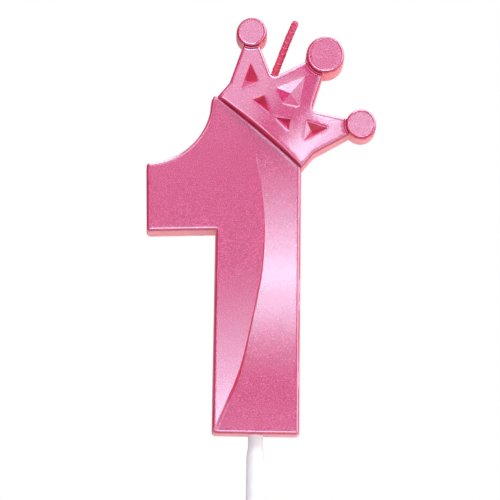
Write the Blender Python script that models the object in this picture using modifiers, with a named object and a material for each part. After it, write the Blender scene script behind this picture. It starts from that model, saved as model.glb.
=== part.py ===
"""Number birthday candle: the digit 1 cast in wax, a tilted crown, the wick and the plastic pick.

X runs across the digit, Y through its thickness with the front at -Y, and Z up. The origin is where
the pick's axis meets the digit's base. The digit's and the crown's outlines are those of their front
faces; their walls flare by DRAFT towards the back, as a casting's do.
"""

import math

import bmesh
import bpy
from mathutils import Matrix, Vector

MM = 0.001

# Casting
THICKNESS = 8.0 * MM
DRAFT = 0.55 * MM
EDGE_RADIUS = 0.4 * MM
EDGE_STEPS = 3
GAP = 0.3 * MM
OVERRUN = 2.0 * MM

# Digit, as X and Z in its front face
STEM_HALF = 8.65 * MM
STEM_HALF_TOP = 8.25 * MM
STEM_TOP = 56.0 * MM
FLAG_CENTRE = Vector((-23.67, 68.75)) * MM
FLAG_RADIUS = 13.65 * MM
FLAG_START = math.radians(-1.5)
FLAG_END = math.radians(-87.9)
ARM_LOWER_LEFT = Vector((-22.83, 41.15)) * MM
ARM_INNER = Vector((-8.6, 41.63)) * MM

# The scooped face on the digit's right: X and Z of the crease along its left side, and its depth there
SCOOP = [
    tuple(value * MM for value in level)
    for level in ((-9.2, -2.0, 0.54), (-6.6, 5.0, 0.93), (-3.6, 12.5, 1.32), (-1.6, 21.0, 1.45),
                  (0.0, 29.0, 1.25), (0.95, 38.0, 0.8), (0.9, 46.0, 0.42), (-0.45, 55.0, 0.11),
                  (-1.75, 60.0, -0.05))
]

# Crown, in its own frame: u across it and v along its axis, from the middle of the seam
CROWN_TILT = math.radians(39.6)
CROWN_ORIGIN = Vector((-0.17, 0.0, 61.93)) * MM
CROWN_PROUD = 1.1 * MM
CROWN_BEND_RADIUS = 73.0 * MM
CROWN_HALF = [
    Vector(point) * MM
    for point in ((11.3, 0.0), (11.3, 3.76), (14.2, 11.5), (14.84, 14.89), (11.57, 13.53),
                  (6.35, 10.62), (5.25, 10.75), (4.48, 11.62), (2.16, 17.15))
]
SIDE_KNOB = Vector((14.84, 14.89)) * MM
SIDE_KNOB_RADIUS = 3.0 * MM
MIDDLE_KNOB = Vector((0.0, 20.9)) * MM
MIDDLE_KNOB_RADIUS = 3.8 * MM
KNOB_PROUD = 0.75 * MM
KNOB_SIDES = 40
BEND_STRIP = 2.0 * MM

# Gem recesses: outline, then the deepest point
GEM_SHIFT = -0.2 * MM
GEM_DEPTH = 1.3 * MM
MIDDLE_GEM_DEPTH = 0.4 * MM
SPIKE_GEM = [Vector(point) * MM for point in ((10.4, 9.7), (8.4, 4.35), (6.5, 7.85))]
BAND_GEM = [Vector(point) * MM for point in ((0.7, 4.3), (4.85, 4.05), (3.75, 6.2))]
MIDDLE_GEM = [Vector(point) * MM for point in ((0.0, 14.6), (2.9, 9.2), (0.0, 7.6), (-2.9, 9.2))]

# Groove between the digit and the crown
GROOVE_RADIUS = 0.8 * MM
GROOVE_LENGTH = 40.0 * MM
GROOVE_SIDES = 16

# Wick: its centre line in X and Z, from the tip down into the stem
WICK_RADIUS = 0.8 * MM
WICK_ROUTE = [
    Vector((x, 0.0, z)) * MM
    for x, z in ((7.1, 85.9), (5.45, 81.9), (4.05, 78.1), (2.75, 74.5), (1.6, 70.5),
                 (0.6, 66.0), (0.05, 61.0), (-0.1, 54.0), (0.0, 44.0), (0.0, 14.0))
]
WICK_SPACING = 3.2 * MM

# Pick: its stem in the wax, the bare neck, the shaft and the point
NECK_RADIUS = 1.47 * MM
SHAFT_RADIUS = 1.75 * MM
RIB_ROOT_RADIUS = 1.15 * MM
TIP_RADIUS = 0.45 * MM
STEM_LENGTH = 12.0 * MM
NECK_END = -2.85 * MM
SHAFT_START = -4.6 * MM
SHAFT_END = -33.0 * MM
TIP_END = -40.0 * MM
RIB_PITCH = 3.0 * MM
RIB_COUNT = 3
PICK_STEPS = 32

FRONT = -THICKNESS / 2
BACK = THICKNESS / 2
CROWN_MATRIX = Matrix.Translation(CROWN_ORIGIN) @ Matrix.Rotation(CROWN_TILT, 4, "Y")

PEARL_PINK = (0.72, 0.16, 0.36)
WICK_CRIMSON = (0.50, 0.03, 0.10)
PICK_WHITE = (0.86, 0.85, 0.88)


def clear_scene():
    for item in list(bpy.data.objects):
        bpy.data.objects.remove(item, do_unlink=True)


def new_collection(name):
    collection = bpy.data.collections.new(name)
    bpy.context.scene.collection.children.link(collection)
    return collection


def new_material(name, color, roughness, metallic):
    material = bpy.data.materials.new(name)
    material.use_nodes = True
    shader = material.node_tree.nodes["Principled BSDF"]
    shader.inputs["Base Color"].default_value = (*color, 1.0)
    shader.inputs["Roughness"].default_value = roughness
    shader.inputs["Metallic"].default_value = metallic
    return material


def object_from_bmesh(name, shape, collection):
    bmesh.ops.recalc_face_normals(shape, faces=shape.faces)
    mesh = bpy.data.meshes.new(name)
    shape.to_mesh(mesh)
    shape.free()
    item = bpy.data.objects.new(name, mesh)
    collection.objects.link(item)
    return item


def finish_part(item, material):
    item.data.materials.clear()
    item.data.materials.append(material)
    item.data.shade_smooth()
    item.data.set_sharp_from_angle(angle=math.radians(30))


def as_cutter(item):
    item.hide_render = True
    item.display_type = "WIRE"
    return item


def boolean(item, other, operation):
    cut = item.modifiers.new(f"{operation.lower()}_{other.name}", "BOOLEAN")
    cut.object = other
    cut.operation = operation
    cut.solver = "EXACT"


def evaluated_mesh(item):
    graph = bpy.context.evaluated_depsgraph_get()
    return bpy.data.meshes.new_from_object(item.evaluated_get(graph))


def arc(centre, radius, start, end, steps):
    angles = [start + (end - start) * step / steps for step in range(steps + 1)]
    return [centre + radius * Vector((math.cos(angle), math.sin(angle))) for angle in angles]


def grown(outline, distance):
    """The outline, drawn anticlockwise, moved outwards by a distance with its corners kept sharp."""
    moved = []
    for index, point in enumerate(outline):
        before = (point - outline[index - 1]).normalized()
        after = (outline[(index + 1) % len(outline)] - point).normalized()
        bisector = Vector((before.y + after.y, -before.x - after.x))
        moved.append(point + bisector * distance / (1.0 + before.dot(after)))
    return moved


def rise_inwards(shape, face, inward, rise):
    bmesh.ops.inset_region(shape, faces=[face], thickness=inward, depth=rise,
                           use_boundary=True, use_even_offset=True)


def casting(outline, front, back):
    """A plate with flared walls and a rounded front edge, from its front outline."""
    shape = bmesh.new()
    corners = [shape.verts.new((point.x, back, point.y)) for point in grown(outline, DRAFT)]
    face = shape.faces.new(corners)
    shape.normal_update()
    wall = back - front - EDGE_RADIUS
    rise_inwards(shape, face, DRAFT, wall)
    for step in range(EDGE_STEPS):
        low = math.pi / 2 * step / EDGE_STEPS
        high = math.pi / 2 * (step + 1) / EDGE_STEPS
        inward = EDGE_RADIUS * (math.cos(low) - math.cos(high))
        rise = EDGE_RADIUS * (math.sin(high) - math.sin(low))
        rise_inwards(shape, face, inward, rise)
    bmesh.ops.holes_fill(shape, edges=[edge for edge in shape.edges if edge.is_boundary])
    return shape


def trim(shape, point, normal):
    """Cuts away what lies on the normal's side of a plane, and closes the cut."""
    everything = shape.verts[:] + shape.edges[:] + shape.faces[:]
    cut = bmesh.ops.bisect_plane(shape, geom=everything, plane_co=point, plane_no=normal, clear_outer=True)
    edges = [piece for piece in cut["geom_cut"] if isinstance(piece, bmesh.types.BMEdge)]
    bmesh.ops.holes_fill(shape, edges=edges)


def crown_point(u, v, depth=0.0):
    return CROWN_MATRIX @ Vector((u, depth, v))


def tube(name, route, radius, collection):
    """A closed tube along a smooth curve through the route's points."""
    guide = bpy.data.curves.new(f"{name}_guide", "CURVE")
    guide.dimensions = "3D"
    spline = guide.splines.new("POLY")
    points = smooth_route(route)
    spline.points.add(len(points) - 1)
    for point, place in zip(spline.points, points):
        point.co = (*place, 1.0)
    guide.bevel_depth = radius
    guide.bevel_resolution = 2
    guide.use_fill_caps = True
    curve = bpy.data.objects.new(f"{name}_guide", guide)
    collection.objects.link(curve)
    shape = bmesh.new()
    shape.from_mesh(evaluated_mesh(curve))
    bmesh.ops.remove_doubles(shape, verts=shape.verts, dist=0.01 * MM)
    bpy.data.objects.remove(curve, do_unlink=True)
    return object_from_bmesh(name, shape, collection)


def smooth_route(route):
    """Points every WICK_SPACING or so on the Catmull-Rom curve through the route."""
    ends = [2 * route[0] - route[1]] + list(route) + [2 * route[-1] - route[-2]]
    points = []
    for before, start, end, after in zip(ends, ends[1:], ends[2:], ends[3:]):
        steps = max(1, round((end - start).length / WICK_SPACING))
        for step in range(steps):
            t = step / steps
            points.append(0.5 * (2 * start + (end - before) * t
                                 + (2 * before - 5 * start + 4 * end - after) * t * t
                                 + (3 * start - before - 3 * end + after) * t ** 3))
    return points + [route[-1]]


def make_groove(name, depth, height, cutters):
    """A round bar along the seam, in the crown's frame."""
    shape = bmesh.new()
    place = Matrix.Translation((0.0, depth, height)) @ Matrix.Rotation(math.pi / 2, 4, "Y")
    bmesh.ops.create_cone(shape, cap_ends=True, segments=GROOVE_SIDES, radius1=GROOVE_RADIUS,
                          radius2=GROOVE_RADIUS, depth=GROOVE_LENGTH, matrix=place)
    return as_cutter(object_from_bmesh(name, shape, cutters))


def digit_outline():
    flag = arc(FLAG_CENTRE, FLAG_RADIUS, FLAG_START, FLAG_END, 14)
    top_right = Vector((STEM_HALF_TOP, STEM_TOP))
    above_seam = crown_point(-12.7 * MM, OVERRUN)
    top_left = Vector((above_seam.x, above_seam.z))
    beyond = crown_point(9.0 * MM, OVERRUN)
    top_middle = Vector((beyond.x, beyond.z))
    return [Vector((-STEM_HALF, 0.0)), Vector((STEM_HALF, 0.0)), top_right, top_middle, top_left,
            *flag, ARM_LOWER_LEFT, ARM_INNER]


def make_scoop(cutters):
    """What the face beyond the crease is cut away with: deepest in the lower half of the stem."""
    right = STEM_HALF + OVERRUN
    above = FRONT - OVERRUN
    shape = bmesh.new()
    levels = []
    for x, z, depth in SCOOP:
        floor = FRONT + depth
        corners = ((x, above), (right, above), (right, floor), (x, floor))
        levels.append([shape.verts.new((across, y, z)) for across, y in corners])
    for lower, upper in zip(levels, levels[1:]):
        for index in range(4):
            after = (index + 1) % 4
            shape.faces.new((lower[index], lower[after], upper[after], upper[index]))
    shape.faces.new(levels[0])
    shape.faces.new(levels[-1])
    bmesh.ops.triangulate(shape, faces=shape.faces[:])
    bmesh.ops.recalc_face_normals(shape, faces=shape.faces)
    return as_cutter(object_from_bmesh("scoop", shape, cutters))


def make_pick_socket(cutters):
    shape = bmesh.new()
    top = STEM_LENGTH + 2 * GAP
    bottom = -OVERRUN
    bmesh.ops.create_cone(shape, cap_ends=True, segments=PICK_STEPS, radius1=NECK_RADIUS + GAP,
                          radius2=NECK_RADIUS + GAP, depth=top - bottom,
                          matrix=Matrix.Translation((0.0, 0.0, (top + bottom) / 2)))
    return as_cutter(object_from_bmesh("pick_socket", shape, cutters))


def make_digit(parts, cutters, channel, material):
    blank = as_cutter(object_from_bmesh("digit_blank", casting(digit_outline(), FRONT, BACK), cutters))
    boolean(blank, make_scoop(cutters), "DIFFERENCE")
    shape = bmesh.new()
    shape.from_mesh(evaluated_mesh(blank))
    trim(shape, CROWN_ORIGIN, crown_point(0.0, 1.0) - CROWN_ORIGIN)
    digit = object_from_bmesh("number_body", shape, parts)
    groove = make_groove("digit_groove", FRONT, 0.0, cutters)
    groove.matrix_world = CROWN_MATRIX
    boolean(digit, groove, "DIFFERENCE")
    boolean(digit, make_pick_socket(cutters), "DIFFERENCE")
    boolean(digit, channel, "DIFFERENCE")
    finish_part(digit, material)


def make_knob(name, centre, radius, front, cutters):
    """A round knob with a flared wall and a rounded front edge."""
    rim = arc(centre, radius, 0.0, 2 * math.pi * (KNOB_SIDES - 1) / KNOB_SIDES, KNOB_SIDES - 1)
    return as_cutter(object_from_bmesh(name, casting(rim, front, BACK), cutters))


def make_gem(name, outline, depth, front, cutters):
    """A pyramid that points into the wax, with its open side just above the front face."""
    shape = bmesh.new()
    above = front - 0.2 * MM
    corners = [shape.verts.new((point.x + GEM_SHIFT, above, point.y)) for point in outline]
    base = shape.faces.new(corners)
    closed = bmesh.ops.extrude_face_region(shape, geom=[base])
    far = [piece for piece in closed["geom"] if isinstance(piece, bmesh.types.BMVert)]
    centre = sum(outline, Vector((0.0, 0.0))) / len(outline)
    deepest = Vector((centre.x + GEM_SHIFT, front + depth, centre.y))
    bmesh.ops.pointmerge(shape, verts=far, merge_co=deepest)
    return as_cutter(object_from_bmesh(name, shape, cutters))


def mirrored(outline):
    return [Vector((-point.x, point.y)) for point in reversed(outline)]


def crown_outline():
    lowered = [CROWN_HALF[0] - Vector((0.0, OVERRUN)), *CROWN_HALF[1:]]
    return lowered + [MIDDLE_KNOB] + mirrored(lowered)


def bend_crown(shape):
    """Curves the front about the crown's axis, so that it falls away to both sides."""
    count = int(SIDE_KNOB.x // BEND_STRIP) + 2
    for strip in range(-count, count + 1):
        everything = shape.verts[:] + shape.edges[:] + shape.faces[:]
        bmesh.ops.bisect_plane(shape, geom=everything, plane_co=(strip * BEND_STRIP, 0.0, 0.0),
                               plane_no=(1.0, 0.0, 0.0))
    for vert in shape.verts:
        share = min(1.0, max(0.0, (BACK - vert.co.y) / (BACK - FRONT)))
        vert.co.y += share * vert.co.x ** 2 / (2 * CROWN_BEND_RADIUS)


def make_crown(parts, cutters, channel, material):
    front = FRONT - CROWN_PROUD
    blank = as_cutter(object_from_bmesh("crown_blank", casting(crown_outline(), front, BACK), cutters))
    knobs = (("knob_left", -SIDE_KNOB.x, SIDE_KNOB.y, SIDE_KNOB_RADIUS),
             ("knob_middle", MIDDLE_KNOB.x, MIDDLE_KNOB.y, MIDDLE_KNOB_RADIUS),
             ("knob_right", SIDE_KNOB.x, SIDE_KNOB.y, SIDE_KNOB_RADIUS))
    for name, u, v, radius in knobs:
        boolean(blank, make_knob(name, Vector((u, v)), radius, front - KNOB_PROUD, cutters), "UNION")
    gems = (("gem_spike_right", SPIKE_GEM, GEM_DEPTH), ("gem_spike_left", mirrored(SPIKE_GEM), GEM_DEPTH),
            ("gem_band_right", BAND_GEM, GEM_DEPTH), ("gem_band_left", mirrored(BAND_GEM), GEM_DEPTH),
            ("gem_middle", MIDDLE_GEM, MIDDLE_GEM_DEPTH))
    for name, outline, depth in gems:
        boolean(blank, make_gem(name, outline, depth, front, cutters), "DIFFERENCE")
    boolean(blank, make_groove("crown_groove", front, GAP, cutters), "DIFFERENCE")
    shape = bmesh.new()
    shape.from_mesh(evaluated_mesh(blank))
    trim(shape, (0.0, 0.0, GAP), (0.0, 0.0, -1.0))
    bend_crown(shape)
    shape.transform(CROWN_MATRIX)
    crown = object_from_bmesh("crown", shape, parts)
    boolean(crown, channel, "DIFFERENCE")
    finish_part(crown, material)


def pick_profile():
    """Radius and height down the pick's side, from the top of its stem to its point."""
    profile = [(0.0, STEM_LENGTH), (RIB_ROOT_RADIUS, STEM_LENGTH)]
    for rib in range(RIB_COUNT):
        crest = STEM_LENGTH - RIB_PITCH * (rib + 0.5)
        profile.append((RIB_ROOT_RADIUS, crest + 0.8 * MM))
        profile.append((NECK_RADIUS, crest + 0.2 * MM))
        profile.append((NECK_RADIUS, crest - 0.4 * MM))
        profile.append((RIB_ROOT_RADIUS, crest - 0.6 * MM))
    profile.append((RIB_ROOT_RADIUS, 2.0 * MM))
    profile.append((NECK_RADIUS, 1.4 * MM))
    profile.append((NECK_RADIUS, NECK_END))
    profile.append((SHAFT_RADIUS, SHAFT_START))
    profile.append((SHAFT_RADIUS, SHAFT_END))
    profile.append((TIP_RADIUS, TIP_END + 0.3 * MM))
    profile.append((TIP_RADIUS * 0.5, TIP_END))
    profile.append((0.0, TIP_END))
    return profile


def make_pick(parts, material):
    shape = bmesh.new()
    verts = [shape.verts.new((radius, 0.0, height)) for radius, height in pick_profile()]
    for upper, lower in zip(verts, verts[1:]):
        shape.edges.new((upper, lower))
    mesh = bpy.data.meshes.new("pick")
    shape.to_mesh(mesh)
    shape.free()
    pick = bpy.data.objects.new("pick", mesh)
    parts.objects.link(pick)
    turn = pick.modifiers.new("turn", "SCREW")
    turn.steps = PICK_STEPS
    turn.render_steps = PICK_STEPS
    turn.use_merge_vertices = True
    turn.merge_threshold = 0.01 * MM
    pick.data.materials.append(material)


def make_wick(parts, material):
    wick = tube("wick", WICK_ROUTE, WICK_RADIUS, parts)
    finish_part(wick, material)


def make_channel(cutters):
    """The channel that the wick runs in, from above the crown down to the pick's socket."""
    first, second = WICK_ROUTE[0], WICK_ROUTE[1]
    above = first + (first - second).normalized() * OVERRUN
    below = WICK_ROUTE[-1] - Vector((0.0, 0.0, OVERRUN))
    route = [above, *WICK_ROUTE[1:-1], below]
    return as_cutter(tube("wick_channel", route, WICK_RADIUS + GAP, cutters))


def main():
    clear_scene()
    parts = new_collection("number_candle")
    cutters = new_collection("cutters")
    channel = make_channel(cutters)
    make_digit(parts, cutters, channel, new_material("pearl_pink_digit", PEARL_PINK, 0.35, 0.6))
    make_crown(parts, cutters, channel, new_material("pearl_pink_crown", PEARL_PINK, 0.35, 0.6))
    make_wick(parts, new_material("crimson_wick", WICK_CRIMSON, 0.6, 0.0))
    make_pick(parts, new_material("white_pick", PICK_WHITE, 0.3, 0.0))


main()
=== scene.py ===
"""Looks of the number birthday candle: pearl pink wax digit and crown, braided wick and white pick.

Lengths are in millimetres in the design values and in the outlines, and metres in the meshes (MM).
The digit's and the crown's fronts are height fields over their outlines: height is how far a point
stands out towards the viewer (-Y) from the digit's front plane.
"""

import math

import bmesh
import bpy
import numpy as np
from mathutils import Matrix, Vector
from mathutils.geometry import delaunay_2d_cdt
from mathutils.kdtree import KDTree


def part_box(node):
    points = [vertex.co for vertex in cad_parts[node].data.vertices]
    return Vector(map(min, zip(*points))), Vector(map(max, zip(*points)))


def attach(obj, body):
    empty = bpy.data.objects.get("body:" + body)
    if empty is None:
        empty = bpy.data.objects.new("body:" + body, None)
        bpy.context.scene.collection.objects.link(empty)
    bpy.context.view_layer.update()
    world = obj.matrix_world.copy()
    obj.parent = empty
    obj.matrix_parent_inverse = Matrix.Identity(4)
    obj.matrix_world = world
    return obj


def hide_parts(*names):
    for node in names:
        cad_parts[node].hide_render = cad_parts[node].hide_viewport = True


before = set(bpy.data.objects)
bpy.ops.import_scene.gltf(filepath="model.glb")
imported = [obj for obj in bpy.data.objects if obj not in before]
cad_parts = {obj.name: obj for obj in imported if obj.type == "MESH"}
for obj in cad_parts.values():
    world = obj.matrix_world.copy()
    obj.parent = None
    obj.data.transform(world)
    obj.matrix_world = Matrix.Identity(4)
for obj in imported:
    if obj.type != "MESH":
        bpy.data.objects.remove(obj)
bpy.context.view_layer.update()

MM = 0.001

# ---------------------------------------------------------------- design values, in millimetres
WAX_THICKNESS = 8.0
BACK = (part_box("number_body")[1] / MM).y
FRONT = BACK - WAX_THICKNESS
PICK_TIP = (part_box("pick")[0] / MM).z
DIGIT_DRAFT = 0.42
CROWN_DRAFT = 0.2
EDGE = 0.22
LIP_PLACE, LIP_WIDTH, LIP_HEIGHT = 0.34, 0.1, 0.065
EDGE_RINGS = (0.015, 0.06, 0.13, EDGE, 0.26, 0.3, LIP_PLACE, 0.38, 0.42, 0.48, 0.56)
EDGE_WALL = 1.0
EDGE_FLARE = 0.14
BACK_EDGE = 0.3
SURFACE_STEP = 0.55
OUTLINE_STEP = 0.6

STEM_HALF = 8.65
SEAM_HALF = 11.3
FLAG_CENTRE = Vector((-23.67, 68.75))
FLAG_RADIUS = 13.65
ARM_UPPER_LEFT = Vector((-23.17, 55.1))
ARM_LOWER_LEFT = Vector((-22.83, 41.15))
ARM_INNER = Vector((-8.6, 41.63))

CREASE = [Vector(point) for point in ((-3.6, 66.5), (-1.9, 61.0), (-0.45, 55.0), (0.45, 49.5), (0.98, 43.5),
                                      (0.98, 38.5), (0.6, 33.0), (-0.2, 28.3), (-1.6, 21.2), (-3.0, 14.8),
                                      (-4.5, 10.2), (-6.2, 6.2), (-8.6, 0.6), (-9.6, -1.6))]
CREASE_WIDTH = ((-2.0, 1.0), (0.0, 0.95), (10.0, 0.6), (20.0, 0.3), (40.0, 0.26), (50.0, 0.12), (73.0, 0.1))
LEFT_FACE = ((-2.0, -0.06), (9.0, 0.0), (21.0, 0.0), (30.0, -0.03), (42.0, -0.135), (60.0, -0.21),
             (73.0, -0.25))
RIGHT_FACE = ((-3.0, -0.5), (5.0, -0.92), (13.0, -1.34), (21.0, -1.475), (29.0, -1.31), (37.0, -0.93),
              (45.0, -0.6), (54.0, -0.31), (64.0, -0.11), (73.0, 0.06))

CROWN_TILT = math.radians(39.6)
CROWN_ORIGIN = Vector((-0.17, 0.0, 61.93))
CROWN_PROUD = 1.0
CROWN_BEND = 73.0
SIDE_KNOB = Vector((14.84, 14.89))
SIDE_KNOB_RADIUS = 3.02
MIDDLE_KNOB = Vector((0.0, 20.9))
MIDDLE_KNOB_RADIUS = 3.8
KNOB_PROUD = 0.42
MIDDLE_LEAN = (-0.045, 0.03)
COLLAR_RINGS = (0.06, 0.13, 0.19, 0.26, 0.32, 0.39, 0.46, 0.53, 0.6, 0.67, 0.74)
GEM_RIM = 0.11
GEM_RIM_HEIGHT = 0.025
GEM_SHIFT = -0.25
GEMS = (
    ([(10.4, 9.7), (6.25, 7.85), (8.4, 4.35)], 1.05, (8.6, 6.9)),
    ([(-10.4, 9.7), (-8.4, 4.35), (-6.7, 7.85)], 1.05, (-8.5, 6.55)),
    ([(0.75, 4.3), (4.6, 4.05), (3.5, 6.1)], 0.9, (2.75, 5.1)),
    ([(-0.75, 4.3), (-3.9, 6.35), (-5.1, 4.1)], 0.9, (-3.85, 4.65)),
    ([(0.0, 14.6), (-2.95, 9.15), (0.0, 7.6), (2.9, 9.25)], 0.36, (0.0, 10.15)),
)
SEAM_GAP = 0.06
DIGIT_ARCH = 0.27
CROWN_ARCH = 0.5

WICK_RADIUS = 0.8
WICK_CORE_RADIUS = 0.70
STRAND_RADIUS = 0.22
BRAID_PITCH = 3.6
WICK_ROUTE = [Vector((x, 0.0, z)) for x, z in ((7.1, 85.9), (5.45, 81.9), (4.05, 78.1), (2.75, 74.5),
                                               (1.6, 70.5), (0.6, 66.0), (0.05, 61.0), (-0.1, 54.0))]

NECK_RADIUS = 1.47
SHAFT_RADIUS = 1.75
PARTING_LINE = 0.025

# Painted shade: surfaces whose normals lean this way (left, down and back) get a dark crimson finish,
# standing in for the shade on the side away from the lights.
PAINTED_SHADE_TOWARDS = (-0.31, 0.90, -0.30)

LIGHT_AIM = Vector((0.0, 0.0, 0.04))
LIGHT_DISTANCE = 0.9
LIGHTS = (
    ("low_front", (-20, 14), (-4.5, 1.3), 5.8),
    ("corner", (7, 18), (-3, 3.5), 2.4),
    ("low_right", (18, 36), (-4.5, 1.2), 1.9),
    ("upper_left", (-42, 3), (12, 42), 1.4),
    ("key", (14, 68), (38, 70), 4.6),
    ("right", (44, 130), (-30, 50), 2.2),
    ("top", (-60, 60), (68, 88), 4.2),
    ("high_front", (-40, 12), (48, 66), 7.0),
    ("back", (130, 230), (15, 65), 0.9),
)
WORLD_STRENGTH = 0.1

CROWN_MATRIX = Matrix.Translation(CROWN_ORIGIN) @ Matrix.Rotation(CROWN_TILT, 4, "Y")


# ---------------------------------------------------------------- outlines
def arc(centre, radius, start, end, step=OUTLINE_STEP):
    count = max(2, math.ceil(abs(end - start) * radius / step))
    angles = [start + (end - start) * index / count for index in range(count + 1)]
    return [centre + radius * Vector((math.cos(angle), math.sin(angle))) for angle in angles]


def fillet(before, corner, after, radius, steps=5):
    """Points of the arc that rounds a corner."""
    to_before = (before - corner).normalized()
    to_after = (after - corner).normalized()
    half = to_before.angle(to_after) / 2
    centre = corner + (to_before + to_after).normalized() * radius / math.sin(half)
    reach = radius / math.tan(half)
    start = corner + to_before * reach - centre
    end = corner + to_after * reach - centre
    turn = start.angle_signed(end)
    return [centre + Matrix.Rotation(-turn * index / steps, 2) @ start for index in range(steps + 1)]


def meet_circle(start, end, centre, radius):
    """Where the line from start through end first meets a circle."""
    along = (end - start).normalized()
    offset = start - centre
    half = along.dot(offset)
    return start + along * (-half - math.sqrt(half * half - offset.length_squared + radius * radius))


def angle_of(vector):
    return math.atan2(vector.y, vector.x)


def subdivided(outline, step=OUTLINE_STEP):
    """A closed outline with its long edges cut into short ones."""
    points = []
    for index, point in enumerate(outline):
        after = outline[(index + 1) % len(outline)]
        count = max(1, round((after - point).length / step))
        points += [point.lerp(after, part / count) for part in range(count)]
    return points


def grown(outline, distances):
    """The closed outline, drawn anticlockwise, with each edge moved outwards by its own distance."""
    moved = []
    for index, point in enumerate(outline):
        before = (point - outline[index - 1]).normalized()
        after = (outline[(index + 1) % len(outline)] - point).normalized()
        out_before = Vector((before.y, -before.x))
        out_after = Vector((after.y, -after.x))
        low, high = distances[index - 1], distances[index]
        cosine = out_before.dot(out_after)
        if cosine > 0.7:
            moved.append(point + (out_before + out_after) / (1.0 + cosine) * (low + high) / 2)
            continue
        sine_squared = 1.0 - cosine * cosine
        moved.append(point + out_before * (low - high * cosine) / sine_squared
                     + out_after * (high - low * cosine) / sine_squared)
    return moved


def to_segments(points, path, closed=False):
    """Distance from each of the points (an array) to a path."""
    start = np.array([tuple(point) for point in path])
    end = np.roll(start, -1, axis=0)
    if not closed:
        start, end = start[:-1], end[:-1]
    best = np.full(len(points), 1e9)
    for a, b in zip(start, end):
        along = b - a
        share = np.clip(((points - a) @ along) / max(along @ along, 1e-12), 0.0, 1.0)
        best = np.minimum(best, np.linalg.norm(points - a - share[:, None] * along, axis=1))
    return best


def inside(points, outline):
    """Which of the points (an array) lie inside a closed outline."""
    x, y = points[:, 0], points[:, 1]
    found = np.zeros(len(points), bool)
    for index, point in enumerate(outline):
        before = outline[index - 1]
        if before.y == point.y:
            continue
        crosses = (before.y > y) != (point.y > y)
        found ^= crosses & (x < (point.x - before.x) * (y - before.y) / (point.y - before.y) + before.x)
    return found


def smooth_path(points, step=OUTLINE_STEP):
    """Points every step or so on the Catmull-Rom curve through the given ones."""
    ends = [2 * points[0] - points[1]] + list(points) + [2 * points[-1] - points[-2]]
    path = []
    for before, start, end, after in zip(ends, ends[1:], ends[2:], ends[3:]):
        count = max(1, round((end - start).length / step))
        for index in range(count):
            t = index / count
            path.append(0.5 * (2 * start + (end - before) * t
                               + (2 * before - 5 * start + 4 * end - after) * t * t
                               + (3 * start - before - 3 * end + after) * t ** 3))
    return path + [points[-1]]


def smoothstep(low, high, values):
    share = np.clip((values - low) / (high - low), 0.0, 1.0)
    return share * share * (3.0 - 2.0 * share)


def edge_drop(distance, radius=EDGE):
    """How far a rounded edge has fallen at a distance in from the outline."""
    left = np.clip(radius - distance, 0.0, radius)
    return radius - np.sqrt(radius * radius - left * left)


def lip(distance):
    """The low bead that runs along inside an edge."""
    return LIP_HEIGHT * np.exp(-((distance - LIP_PLACE) / LIP_WIDTH) ** 2)


# ---------------------------------------------------------------- a casting with a modelled front
def front_surface(outline, lines, rings, height):
    """Triangles over an outline, with smooth edges along the rings and sharp ones along the lines.

    Gives the flat points, the faces, the outline's points, the sharp edges and the points' heights.
    """
    points = list(outline)
    edges = []
    for inset in EDGE_RINGS:
        ring = np.array([tuple(point) for point in grown(outline, [-inset] * len(outline))])
        ring = [Vector(point) for point in ring[to_segments(ring, outline, closed=True) > 0.96 * inset]]
        first = len(points)
        points += ring
        edges += [(first + index, first + (index + 1) % len(ring)) for index in range(len(ring))]
    for ring in rings:
        first = len(points)
        points += ring
        edges += [(first + index, first + index + 1) for index in range(len(ring) - 1)]
    first_sharp = len(edges)
    for line in lines:
        first = len(points)
        points += line
        edges += [(first + index, first + index + 1) for index in range(len(line) - 1)]
    tree = KDTree(len(points))
    for index, point in enumerate(points):
        tree.insert((*point, 0.0), index)
    tree.balance()
    low = np.min([tuple(point) for point in outline], axis=0)
    high = np.max([tuple(point) for point in outline], axis=0)
    grid = []
    row_height = SURFACE_STEP * math.sqrt(3) / 2
    for row in range(int((high[1] - low[1]) / row_height) + 1):
        for column in range(int((high[0] - low[0]) / SURFACE_STEP) + 1):
            grid.append((low[0] + (column + 0.5 * (row % 2)) * SURFACE_STEP, low[1] + row * row_height))
    grid = np.array(grid)
    grid = grid[inside(grid, outline)]
    grid = grid[to_segments(grid, outline, closed=True) > EDGE_RINGS[-1] + 0.4 * SURFACE_STEP]
    for point in grid:
        if tree.find((*point, 0.0))[2] > 0.6 * SURFACE_STEP:
            points.append(Vector(point))
    made = delaunay_2d_cdt(points, edges, [list(range(len(outline)))], 0, 1e-5, True)
    places, joined, faces, origins, edge_origins, _ = made
    sharp = [pair for pair, source in zip(joined, edge_origins)
             if any(first_sharp <= index < len(edges) for index in source)]
    middles = [sum((places[index] for index in face), Vector((0.0, 0.0))) / 3 for face in faces]
    keep = inside(np.array([tuple(middle) for middle in middles]), outline)
    faces = [face for face, kept in zip(faces, keep) if kept]
    boundary = [None] * len(outline)
    for index, origin in enumerate(origins):
        for source in origin:
            if source < len(outline):
                boundary[source] = index
    flat = np.array([tuple(place) for place in places])
    inward = to_segments(flat, outline, closed=True)
    return flat, faces, boundary, sharp, height(flat) - edge_drop(inward) + lip(inward)


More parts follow.
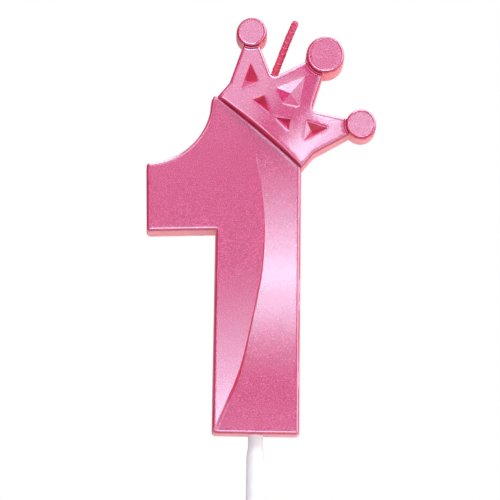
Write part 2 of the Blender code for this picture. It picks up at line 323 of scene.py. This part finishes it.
def casting(name, outline, lines, rings, height, rows, matrix=Matrix.Identity(4), bend=None):
    """A cast piece: its modelled front, its flared walls in rows, and its flat back.

    A row is (depth behind the front plane, distances by which the outline's edges have moved out).
    """
    flat, faces, boundary, sharp, heights = front_surface(outline, lines, rings, height)
    shape = bmesh.new()
    front = [shape.verts.new((x, FRONT - rise, z)) for (x, z), rise in zip(flat, heights)]
    for face in faces:
        shape.faces.new([front[index] for index in face])
    for start, end in sharp:
        edge = shape.edges.get((front[start], front[end]))
        if edge:
            edge.smooth = False
    ring = [front[index] for index in boundary]
    for depth, distances in rows:
        lower = [shape.verts.new((point.x, FRONT + depth, point.y)) for point in grown(outline, distances)]
        for index in range(len(ring)):
            after = (index + 1) % len(ring)
            shape.faces.new((ring[index], lower[index], lower[after], ring[after]))
        ring = lower
    shape.faces.new(ring)
    if bend:
        bend(shape)
    shape.transform(Matrix.Scale(MM, 4) @ matrix)
    bmesh.ops.recalc_face_normals(shape, faces=shape.faces)
    return add_mesh(name, shape, sharp=32.0)


def add_mesh(name, shape, sharp=180.0):
    """Links the shape as an object, smooth except at its marked edges and those past the sharp angle."""
    for face in shape.faces:
        face.smooth = True
    for edge in shape.edges:
        if edge.is_manifold and edge.calc_face_angle() > math.radians(sharp):
            edge.smooth = False
    mesh = bpy.data.meshes.new(name)
    shape.to_mesh(mesh)
    shape.free()
    item = bpy.data.objects.new(name, mesh)
    bpy.context.scene.collection.objects.link(item)
    return item


def flared_rows(draft, seam, wall_top):
    """Rows of a wall: flared by the draft, but along the seam only out to the seam's own reach.

    The seam gives that reach for each of the outline's edges, or None for an edge elsewhere.
    """
    total = BACK - FRONT
    rows = [(wall_top, EDGE_FLARE)]
    rows += [(depth, EDGE_FLARE + (draft - EDGE_FLARE) * (depth - wall_top) / (total - wall_top))
             for depth in np.linspace(wall_top + 0.3, total - BACK_EDGE, 8)]
    for step in (1, 2, 3):
        angle = math.pi / 2 * step / 3
        rows.append((total - BACK_EDGE * (1 - math.sin(angle)), draft - BACK_EDGE * (1 - math.cos(angle))))
    return [(depth, [out if reach is None else reach * min(1.0, 0.4 + 0.375 * depth) for reach in seam])
            for depth, out in rows]


# ---------------------------------------------------------------- the digit
def seam_point(u, v):
    place = CROWN_MATRIX @ Vector((u, 0.0, v))
    return Vector((place.x, place.z))


def digit_outline():
    seam_right = seam_point(SEAM_HALF - 0.3, -SEAM_GAP)
    seam = [seam_point(u, DIGIT_ARCH * (1 - ((u - 1) / 11) ** 2)) for u in range(9, -11, -2)]
    seam_left = seam_point(-SEAM_HALF - 0.75, -SEAM_GAP + 0.1)
    flag_start = FLAG_CENTRE + FLAG_RADIUS * Vector((math.cos(-0.02), math.sin(-0.02)))
    flag = arc(FLAG_CENTRE, FLAG_RADIUS, -0.1, math.radians(-84.5))
    base_left, base_right = Vector((-STEM_HALF, 0.0)), Vector((STEM_HALF, 0.0))
    corners = [
        (base_left, 0.45), (base_right, 0.45), (seam_right, 0.15), seam, (seam_left, 0.45),
        (flag_start, 0.4), flag, (ARM_UPPER_LEFT, 0.5), (ARM_LOWER_LEFT, 0.5), (ARM_INNER, 0.25),
    ]
    points = []
    for index, entry in enumerate(corners):
        if isinstance(entry, list):
            points += entry
            continue
        corner, radius = entry
        before = corners[index - 1]
        after = corners[(index + 1) % len(corners)]
        before = before[-1] if isinstance(before, list) else before[0]
        after = after[0]
        points += fillet(before, corner, after, radius)
    return subdivided(points)


def beyond_crease(flat, path):
    """How far each point lies beyond the crease, on the scooped face's side; negative on the other side."""
    upwards = path[::-1]
    across = np.interp(flat[:, 1], [point.y for point in upwards], [point.x for point in upwards])
    return np.where(flat[:, 0] > across, 1.0, -1.0) * to_segments(flat, path)


def along_height(z, knots):
    """A smooth curve of face heights through knots of (place up the digit, height)."""
    path = smooth_path([Vector(knot) for knot in knots], 0.5)
    return np.interp(z, [point.x for point in path], [point.y for point in path])


def crease_width(z):
    return np.interp(z, *zip(*CREASE_WIDTH))


def digit_height(flat):
    """Two faces: the left one dips towards the base, and the right one is a long shallow scoop."""
    beyond = beyond_crease(flat, smooth_path(CREASE))
    left = along_height(flat[:, 1], LEFT_FACE)
    right = along_height(flat[:, 1], RIGHT_FACE)
    return left + (right - left) * smoothstep(0.0, 1.0, beyond / crease_width(flat[:, 1]))


def crease_lines(outline):
    """Lines from the crease's upper edge down to its foot, kept inside the outline."""
    path = smooth_path(CREASE)
    lines = []
    for share in (0.0, 0.33, 0.66, 1.0):
        moved = []
        for before, point, after in zip([path[0]] + path, path, path[1:] + [path[-1]]):
            along = (after - before).normalized()
            moved.append(point + Vector((-along.y, along.x)) * crease_width(point.y) * share)
        flat = np.array([tuple(point) for point in moved])
        keep = inside(flat, outline) & (to_segments(flat, outline, closed=True) > 0.03)
        lines.append([point for point, kept in zip(moved, keep) if kept])
    return lines


def seam_reach(outline, normal, line):
    """For each edge of an outline that faces along the normal, how far it is from the seam's line."""
    reaches = []
    for index, point in enumerate(outline):
        after = outline[(index + 1) % len(outline)]
        along = (after - point).normalized()
        faces_seam = Vector((along.y, -along.x)).dot(normal) > 0.98
        reach = line - ((point + after) / 2).dot(normal)
        reaches.append(reach if faces_seam and reach < 1.0 else None)
    return reaches


def make_digit():
    outline = digit_outline()
    normal = seam_point(0.0, 1.0) - seam_point(0.0, 0.0)
    seam = seam_reach(outline, normal, seam_point(0.0, 0.0).dot(normal))
    rows = flared_rows(DIGIT_DRAFT, seam, EDGE_WALL + 0.6)
    digit = casting("digit_wax", outline, crease_lines(outline), [], digit_height, rows)
    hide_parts("number_body")
    return digit


# ---------------------------------------------------------------- the crown
def crown_outline():
    base = Vector((SEAM_HALF, SEAM_GAP))
    arch = [Vector((u, SEAM_GAP + CROWN_ARCH * (1 - (u / SEAM_HALF) ** 2))) for u in range(11)]
    bend = Vector((11.25, 3.8))
    side_outer = Vector((14.2, 11.5))
    side_inner = Vector((11.57, 13.53))
    valley = Vector((5.17, 9.95))
    middle_side = Vector((2.16, 17.15))
    outer_meet = meet_circle(bend, side_outer, SIDE_KNOB, SIDE_KNOB_RADIUS)
    inner_meet = meet_circle(valley, side_inner, SIDE_KNOB, SIDE_KNOB_RADIUS)
    middle_meet = meet_circle(valley, middle_side, MIDDLE_KNOB, MIDDLE_KNOB_RADIUS)
    start, end = angle_of(outer_meet - SIDE_KNOB), angle_of(inner_meet - SIDE_KNOB)
    half = arch + fillet(arch[-1], base, bend, 0.15)
    half += fillet(base, bend, outer_meet, 1.6)
    half += arc(SIDE_KNOB, SIDE_KNOB_RADIUS, start, end + 2 * math.pi if end < start else end, 0.35)
    half += fillet(inner_meet, valley, middle_meet, 1.2)
    top_start = angle_of(middle_meet - MIDDLE_KNOB)
    top = arc(MIDDLE_KNOB, MIDDLE_KNOB_RADIUS, top_start, math.pi - top_start, 0.35)
    left = [Vector((-point.x, point.y)) for point in reversed(half[1:])]
    return subdivided(half + top + left)


def gems():
    """Each gem's outline, its depth and its deepest point."""
    return [([Vector((u + GEM_SHIFT, v)) for u, v in outline], depth, Vector((deep_u + GEM_SHIFT, deep_v)))
            for outline, depth, (deep_u, deep_v) in GEMS]


def knobs():
    return ((SIDE_KNOB, SIDE_KNOB_RADIUS), (MIDDLE_KNOB, MIDDLE_KNOB_RADIUS),
            (Vector((-SIDE_KNOB.x, SIDE_KNOB.y)), SIDE_KNOB_RADIUS))


def collar(beyond):
    """Height of the ring round a knob's neck, at a distance beyond the knob's disc."""
    groove = -0.1 * np.exp(-((beyond - 0.06) / 0.07) ** 2)
    ring = 0.1 * np.exp(-((beyond - 0.32) / 0.13) ** 2)
    neck = -0.12 * np.exp(-((beyond - 0.6) / 0.07) ** 2)
    return groove + ring + neck


def crown_height(flat):
    """Level, but for the knobs' discs and collars and the sunken gems with their raised rims."""
    rise = np.full(len(flat), 0.0)
    for centre, radius in knobs():
        beyond = np.linalg.norm(flat - np.array(tuple(centre)), axis=1) - radius
        disc = KNOB_PROUD - edge_drop(-beyond) + lip(-beyond)
        rise = np.where(beyond <= 0.0, disc, np.where(beyond < 1.0, collar(beyond), rise))
    for outline, depth, middle in gems():
        deepest = np.array([tuple(middle)])
        share = np.full(len(flat), 9.0)
        inward = np.full(len(flat), 9.0)
        for index, corner in enumerate(outline):
            line = [corner, outline[(index + 1) % len(outline)]]
            off = line_distance(flat, line)
            inward = np.minimum(inward, off)
            share = np.minimum(share, off / line_distance(deepest, line)[0])
        away = to_segments(flat, outline, closed=True)
        rim = GEM_RIM_HEIGHT * np.exp(-((away - GEM_RIM) / (0.6 * GEM_RIM)) ** 2)
        rise = np.where(inward > 0.0, -depth * np.clip(share, 0.0, 1.0), rise + rim)
    return rise + CROWN_PROUD


def line_distance(flat, line):
    """Distance of points to the left of a straight line."""
    along = np.array(tuple((line[1] - line[0]).normalized()))
    offset = flat - np.array(tuple(line[0]))
    return along[0] * offset[:, 1] - along[1] * offset[:, 0]


def crown_lines():
    """The gems' outlines and the edges that run from their corners to their deepest points."""
    lines = []
    for gem, _, middle in gems():
        around = subdivided(gem, 0.4)
        lines.append(around + [around[0]])
        for corner in gem:
            count = math.ceil((middle - corner).length / 0.4)
            lines.append([corner.lerp(middle, part / count) for part in range(count + 1)])
    return lines


def crown_rings(outline):
    """Lines that follow the knobs' edges and collars and the gems' rims."""
    lines = []
    for gem, _, _ in gems():
        for share in (0.5, 1.0, 1.5, 2.2):
            wider = subdivided(grown(gem, [GEM_RIM * share] * len(gem)))
            lines.append(wider + [wider[0]])
    for centre, radius in knobs():
        for offset in [-inset for inset in EDGE_RINGS] + [0.0, *COLLAR_RINGS]:
            circle = arc(centre, radius + offset, 0.0, 2 * math.pi, 0.25)
            flat = np.array([tuple(point) for point in circle])
            keep = inside(flat, outline) & (to_segments(flat, outline, closed=True) > 0.02)
            run = []
            for point, kept in zip(circle, keep):
                if kept:
                    run.append(point)
                elif run:
                    lines.append(run)
                    run = []
            if run:
                lines.append(run)
    return [line for line in lines if len(line) > 1]


def bend_crown(shape):
    """Lets the crown's front fall away to both sides, and less so towards its flat back.

    The knobs' discs stay flat; the middle one leans a little to the left and back.
    """
    for vert in shape.verts:
        share = min(1.0, max(0.0, (BACK - vert.co.y) / (BACK - FRONT)))
        u, v = vert.co.x, vert.co.z
        fall = u * u
        for centre, radius in knobs():
            if (Vector((u, v)) - centre).length < radius + 0.01 and vert.co.y < FRONT - CROWN_PROUD + 0.1:
                fall -= (u - centre.x) ** 2
                if centre.x == 0.0:
                    vert.co.y += MIDDLE_LEAN[0] * u + MIDDLE_LEAN[1] * (v - centre.y)
        vert.co.y += share * fall / (2 * CROWN_BEND)


def make_crown():
    outline = crown_outline()
    seam = seam_reach(outline, Vector((0.0, -1.0)), -0.02)
    rows = flared_rows(CROWN_DRAFT, seam, EDGE_WALL - CROWN_PROUD)
    crown = casting("crown_wax", outline, crown_lines(), crown_rings(outline), crown_height, rows,
                    CROWN_MATRIX, bend_crown)
    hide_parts("crown")
    return crown


# ---------------------------------------------------------------- wick and pick
def frames_along(path):
    """A point, and two directions across the path, at each of its points."""
    for before, point, after in zip([path[0]] + path, path, path[1:] + [path[-1]]):
        along = (after - before).normalized()
        side = Vector((0.0, 1.0, 0.0))
        other = along.cross(side).normalized()
        yield point, side, other


def swept(shape, path, radius_at, sides=12):
    """Adds a closed tube whose radius is given by a function of (share along, angle)."""
    rings = []
    last = len(path) - 1
    for index, (point, side, other) in enumerate(frames_along(path)):
        ring = []
        for turn in range(sides):
            angle = 2 * math.pi * turn / sides
            radius = radius_at(index / last, angle)
            ring.append(shape.verts.new(point + (side * math.cos(angle) + other * math.sin(angle)) * radius))
        rings.append(ring)
    for lower, upper in zip(rings, rings[1:]):
        for turn in range(sides):
            after = (turn + 1) % sides
            shape.faces.new((lower[turn], lower[after], upper[after], upper[turn]))
    shape.faces.new(rings[0])
    shape.faces.new(rings[-1])


def rounded_tip(share):
    """Shrinks the wick towards its upper end, where the route starts."""
    left = max(0.0, 1.0 - share / 0.025)
    return math.sqrt(max(0.02, 1.0 - left * left))


def make_wick():
    """A round braid of six strands on a waxed core."""
    path = smooth_path(WICK_ROUTE, 0.12)
    shape = bmesh.new()
    swept(shape, path, lambda share, angle: WICK_CORE_RADIUS * rounded_tip(share), sides=16)
    lengths = np.cumsum([0.0] + [(b - a).length for a, b in zip(path, path[1:])])
    for strand in range(6):
        way = 1 if strand % 2 else -1
        start = 2 * math.pi * (strand // 2) / 3
        line = []
        for (point, side, other), length in zip(frames_along(path), lengths):
            angle = start + way * 2 * math.pi * length / BRAID_PITCH
            weave = 0.03 * math.cos(3 * angle + strand)
            reach = (WICK_RADIUS - STRAND_RADIUS + weave - 0.03) * rounded_tip(length / lengths[-1])
            line.append(point + (side * math.cos(angle) + other * math.sin(angle)) * reach)
        swept(shape, line, lambda share, angle: STRAND_RADIUS * rounded_tip(share), sides=8)
    shape.transform(Matrix.Scale(MM, 4))
    bmesh.ops.recalc_face_normals(shape, faces=shape.faces)
    wick = add_mesh("wick_braid", shape)
    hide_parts("wick")
    return wick


def pick_profile():
    """Radius and height down the pick, from inside the wax to its point."""
    return [(NECK_RADIUS, 3.0), (NECK_RADIUS, 0.0), (NECK_RADIUS, -2.6), (1.5, -2.95), (1.62, -3.8),
            (1.72, -4.5), (SHAFT_RADIUS, -5.0), (SHAFT_RADIUS, -12.0), (SHAFT_RADIUS, -20.0),
            (SHAFT_RADIUS, PICK_TIP + 7.4), (1.7, PICK_TIP + 6.8), (0.52, PICK_TIP + 0.5),
            (0.4, PICK_TIP + 0.2), (0.2, PICK_TIP)]


def make_pick():
    """Turned, with the fine parting line of its mould down both sides."""
    sides = 48
    shape = bmesh.new()
    rings = []
    for radius, height in pick_profile():
        ring = []
        for turn in range(sides):
            angle = 2 * math.pi * turn / sides
            reach = radius + (PARTING_LINE if turn in (0, sides // 2) and radius > 1.0 else 0.0)
            ring.append(shape.verts.new((reach * math.cos(angle), reach * math.sin(angle), height)))
        rings.append(ring)
    for upper, lower in zip(rings, rings[1:]):
        for turn in range(sides):
            after = (turn + 1) % sides
            shape.faces.new((lower[turn], lower[after], upper[after], upper[turn]))
    shape.faces.new(rings[0])
    shape.faces.new(rings[-1])
    shape.transform(Matrix.Scale(MM, 4))
    bmesh.ops.recalc_face_normals(shape, faces=shape.faces)
    pick = add_mesh("pick_plastic", shape, sharp=50.0)
    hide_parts("pick")
    return pick


# ---------------------------------------------------------------- materials
def new_material(name):
    material = bpy.data.materials.new(name)
    material.use_nodes = True
    nodes = material.node_tree.nodes
    return material, nodes, material.node_tree.links, nodes["Principled BSDF"]


def noise(nodes, links, size_mm, detail=2.0, roughness=0.5):
    """Noise in the object's own space, with features of about the given size."""
    place = nodes.new("ShaderNodeTexCoord")
    texture = nodes.new("ShaderNodeTexNoise")
    texture.inputs["Scale"].default_value = 1.0 / (size_mm * MM)
    texture.inputs["Detail"].default_value = detail
    texture.inputs["Roughness"].default_value = roughness
    links.new(place.outputs["Object"], texture.inputs["Vector"])
    return texture.outputs["Fac"]


def ramp(nodes, links, value, stops):
    node = nodes.new("ShaderNodeValToRGB")
    while len(node.color_ramp.elements) < len(stops):
        node.color_ramp.elements.new(0.5)
    for element, (position, color) in zip(node.color_ramp.elements, stops):
        element.position = position
        element.color = (*color, 1.0)
    links.new(value, node.inputs["Fac"])
    return node.outputs["Color"]


def bump(nodes, links, value, height_mm, strength, normal=None):
    node = nodes.new("ShaderNodeBump")
    node.inputs["Strength"].default_value = strength
    node.inputs["Distance"].default_value = height_mm * MM
    links.new(value, node.inputs["Height"])
    if normal:
        links.new(normal, node.inputs["Normal"])
    return node.outputs["Normal"]


def pearl_wax():
    """A pearl coating on the front, a dark crimson painted shade on the bevels and facets turned left and
    down, away from the lights, and bare pink wax.
    """
    material, nodes, links, pearl = new_material("pearl_pink_wax")
    pearl.inputs["Roughness"].default_value = 0.18
    pearl.inputs["IOR"].default_value = 3.0
    pearl.inputs["Metallic"].default_value = 0.0
    pearl.inputs["Specular Tint"].default_value = (0.6, 0.84, 1.0, 1.0)
    fine = noise(nodes, links, 0.19, detail=3.0, roughness=0.75)
    broad = noise(nodes, links, 3.5)
    color = ramp(nodes, links, fine, [(0.40, (0.38, 0.003, 0.05)), (0.54, (0.62, 0.012, 0.145)),
                                        (0.66, (0.98, 0.15, 0.45))])
    links.new(color, pearl.inputs["Base Color"])
    grain = bump(nodes, links, fine, 0.015, 0.5)
    links.new(bump(nodes, links, broad, 0.03, 0.15, grain), pearl.inputs["Normal"])

    wax = nodes.new("ShaderNodeBsdfPrincipled")
    wax.inputs["Roughness"].default_value = 0.55
    wax.inputs["Subsurface Weight"].default_value = 0.3
    wax.inputs["Subsurface Radius"].default_value = (1.0, 0.4, 0.3)
    wax.inputs["Subsurface Scale"].default_value = 1.2 * MM
    mottle = noise(nodes, links, 1.6, detail=4.0)
    links.new(ramp(nodes, links, mottle, [(0.3, (0.80, 0.22, 0.27)), (0.7, (0.86, 0.32, 0.37))]),
              wax.inputs["Base Color"])
    links.new(bump(nodes, links, mottle, 0.05, 0.3), wax.inputs["Normal"])

    # Painted shade: a dark crimson copy of the finish, for the surfaces turned left and down, away from the
    # lights.
    edge = nodes.new("ShaderNodeBsdfPrincipled")
    edge.inputs["Roughness"].default_value = 0.4
    edge.inputs["IOR"].default_value = 1.5
    links.new(ramp(nodes, links, mottle, [(0.3, (0.42, 0.01, 0.045)), (0.7, (0.58, 0.03, 0.09))]),
              edge.inputs["Base Color"])

    place = nodes.new("ShaderNodeTexCoord")
    split = nodes.new("ShaderNodeSeparateXYZ")
    links.new(place.outputs["Normal"], split.inputs["Vector"])
    towards_painted_shade = nodes.new("ShaderNodeVectorMath")
    towards_painted_shade.operation = "DOT_PRODUCT"
    towards_painted_shade.inputs[1].default_value = PAINTED_SHADE_TOWARDS
    links.new(place.outputs["Normal"], towards_painted_shade.inputs[0])
    # Surfaces turned left and down get the dark crimson painted shade in place of the pearl.
    pearl_and_painted_shade = shader_mix(nodes, links, towards_painted_shade.outputs["Value"], (-0.75, -0.6), pearl, edge)
    whole = shader_mix(nodes, links, split.outputs["Y"], (-0.13, -0.06), pearl_and_painted_shade, wax)
    links.new(whole.outputs[0], nodes["Material Output"].inputs["Surface"])
    return material


def shader_mix(nodes, links, value, limits, low, high):
    """One shader below the lower limit of a value, and the other above its upper limit."""
    reach = nodes.new("ShaderNodeMapRange")
    reach.interpolation_type = "SMOOTHSTEP"
    reach.inputs["From Min"].default_value, reach.inputs["From Max"].default_value = limits
    links.new(value, reach.inputs["Value"])
    mix = nodes.new("ShaderNodeMixShader")
    links.new(reach.outputs["Result"], mix.inputs["Fac"])
    links.new(low.outputs[0], mix.inputs[1])
    links.new(high.outputs[0], mix.inputs[2])
    return mix


def waxed_cotton():
    material, nodes, links, shader = new_material("waxed_cotton")
    shader.inputs["Roughness"].default_value = 0.34
    shader.inputs["IOR"].default_value = 1.6
    fibre = noise(nodes, links, 0.12, detail=3.0)
    links.new(ramp(nodes, links, fibre, [(0.3, (0.33, 0.01, 0.05)), (0.75, (0.66, 0.05, 0.16))]),
              shader.inputs["Base Color"])
    links.new(bump(nodes, links, fibre, 0.04, 0.6), shader.inputs["Normal"])
    return material


def white_plastic():
    material, nodes, links, shader = new_material("white_plastic")
    shader.inputs["Roughness"].default_value = 0.35
    shader.inputs["IOR"].default_value = 1.5
    shader.inputs["Subsurface Weight"].default_value = 0.25
    shader.inputs["Subsurface Radius"].default_value = (1.0, 1.0, 1.0)
    shader.inputs["Subsurface Scale"].default_value = 0.8 * MM
    flow = noise(nodes, links, 2.5, detail=3.0)
    links.new(ramp(nodes, links, flow, [(0.3, (0.76, 0.745, 0.79)), (0.7, (0.80, 0.785, 0.83))]),
              shader.inputs["Base Color"])
    links.new(bump(nodes, links, flow, 0.02, 0.2), shader.inputs["Normal"])
    return material


def pale_floor():
    material, nodes, links, shader = new_material("pale_floor")
    shader.inputs["Roughness"].default_value = 0.8
    links.new(ramp(nodes, links, noise(nodes, links, 40.0), [(0.3, (0.68,) * 3), (0.7, (0.70,) * 3)]),
              shader.inputs["Base Color"])
    return material


def finish_piece(piece, material):
    piece.data.materials.clear()
    piece.data.materials.append(material)
    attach(piece, "root")


# ---------------------------------------------------------------- stage, light and camera
def softbox(name, azimuths, elevations, radiance):
    """A soft white light that fills the given angles (degrees, from the front and from the horizon)."""
    azimuth, elevation = (math.radians(sum(pair) / 2) for pair in (azimuths, elevations))
    half_width, half_height = (math.radians((pair[1] - pair[0]) / 2) for pair in (azimuths, elevations))
    along = Vector((math.sin(azimuth) * math.cos(elevation), -math.cos(azimuth) * math.cos(elevation),
                    math.sin(elevation)))
    data = bpy.data.lights.new(name, "AREA")
    data.shape = "RECTANGLE"
    data.size = 2 * LIGHT_DISTANCE * math.tan(half_width) * math.cos(elevation)
    data.size_y = 2 * LIGHT_DISTANCE * math.tan(half_height)
    data.energy = math.pi * data.size * data.size_y * radiance
    light = bpy.data.objects.new(name, data)
    light.location = LIGHT_AIM + along * LIGHT_DISTANCE
    light.rotation_euler = (-along).to_track_quat("-Z", "Y").to_euler()
    bpy.context.scene.collection.objects.link(light)


def make_world():
    """Even light all round, and white behind the object."""
    world = bpy.data.worlds.new("studio")
    bpy.context.scene.world = world
    world.use_nodes = True
    nodes, links = world.node_tree.nodes, world.node_tree.links
    seen = nodes["Background"]
    seen.inputs["Color"].default_value = (1.0, 1.0, 1.0, 1.0)
    around = nodes.new("ShaderNodeBackground")
    around.inputs["Color"].default_value = (0.9, 0.88, 1.0, 1.0)
    around.inputs["Strength"].default_value = WORLD_STRENGTH
    path = nodes.new("ShaderNodeLightPath")
    mix = nodes.new("ShaderNodeMixShader")
    links.new(path.outputs["Is Camera Ray"], mix.inputs["Fac"])
    links.new(around.outputs["Background"], mix.inputs[1])
    links.new(seen.outputs["Background"], mix.inputs[2])
    links.new(mix.outputs["Shader"], nodes["World Output"].inputs["Surface"])


def make_stage():
    shape = bmesh.new()
    bmesh.ops.create_grid(shape, x_segments=2, y_segments=2, size=2.5)
    floor = add_mesh("floor", shape)
    floor.location = (0.0, 0.0, (PICK_TIP - 1.0) * MM)
    floor.data.materials.append(pale_floor())
    make_world()
    for name, azimuths, elevations, radiance in LIGHTS:
        softbox(name, azimuths, elevations, radiance)


def make_camera():
    data = bpy.data.cameras.new("camera")
    data.lens = 211.0
    data.sensor_width = 36.0
    camera = bpy.data.objects.new("camera", data)
    elevation, roll, distance = math.radians(-6.5), math.radians(0.93), 600.0
    aim = Vector((-1.732, FRONT, 37.433))
    back = Vector((0.0, -math.cos(elevation), math.sin(elevation)))
    turn = back.to_track_quat("Z", "Y").to_matrix() @ Matrix.Rotation(roll, 3, "Z")
    camera.matrix_world = Matrix.Translation((aim + back * distance) * MM) @ turn.to_4x4()
    data.clip_start, data.clip_end = 0.01, 10.0
    bpy.context.scene.collection.objects.link(camera)
    bpy.context.scene.camera = camera


def main():
    bpy.context.scene.view_settings.view_transform = "Standard"
    make_camera()
    make_stage()
    pearl = pearl_wax()
    finish_piece(make_digit(), pearl)
    finish_piece(make_crown(), pearl)
    finish_piece(make_wick(), waxed_cotton())
    finish_piece(make_pick(), white_plastic())


main()
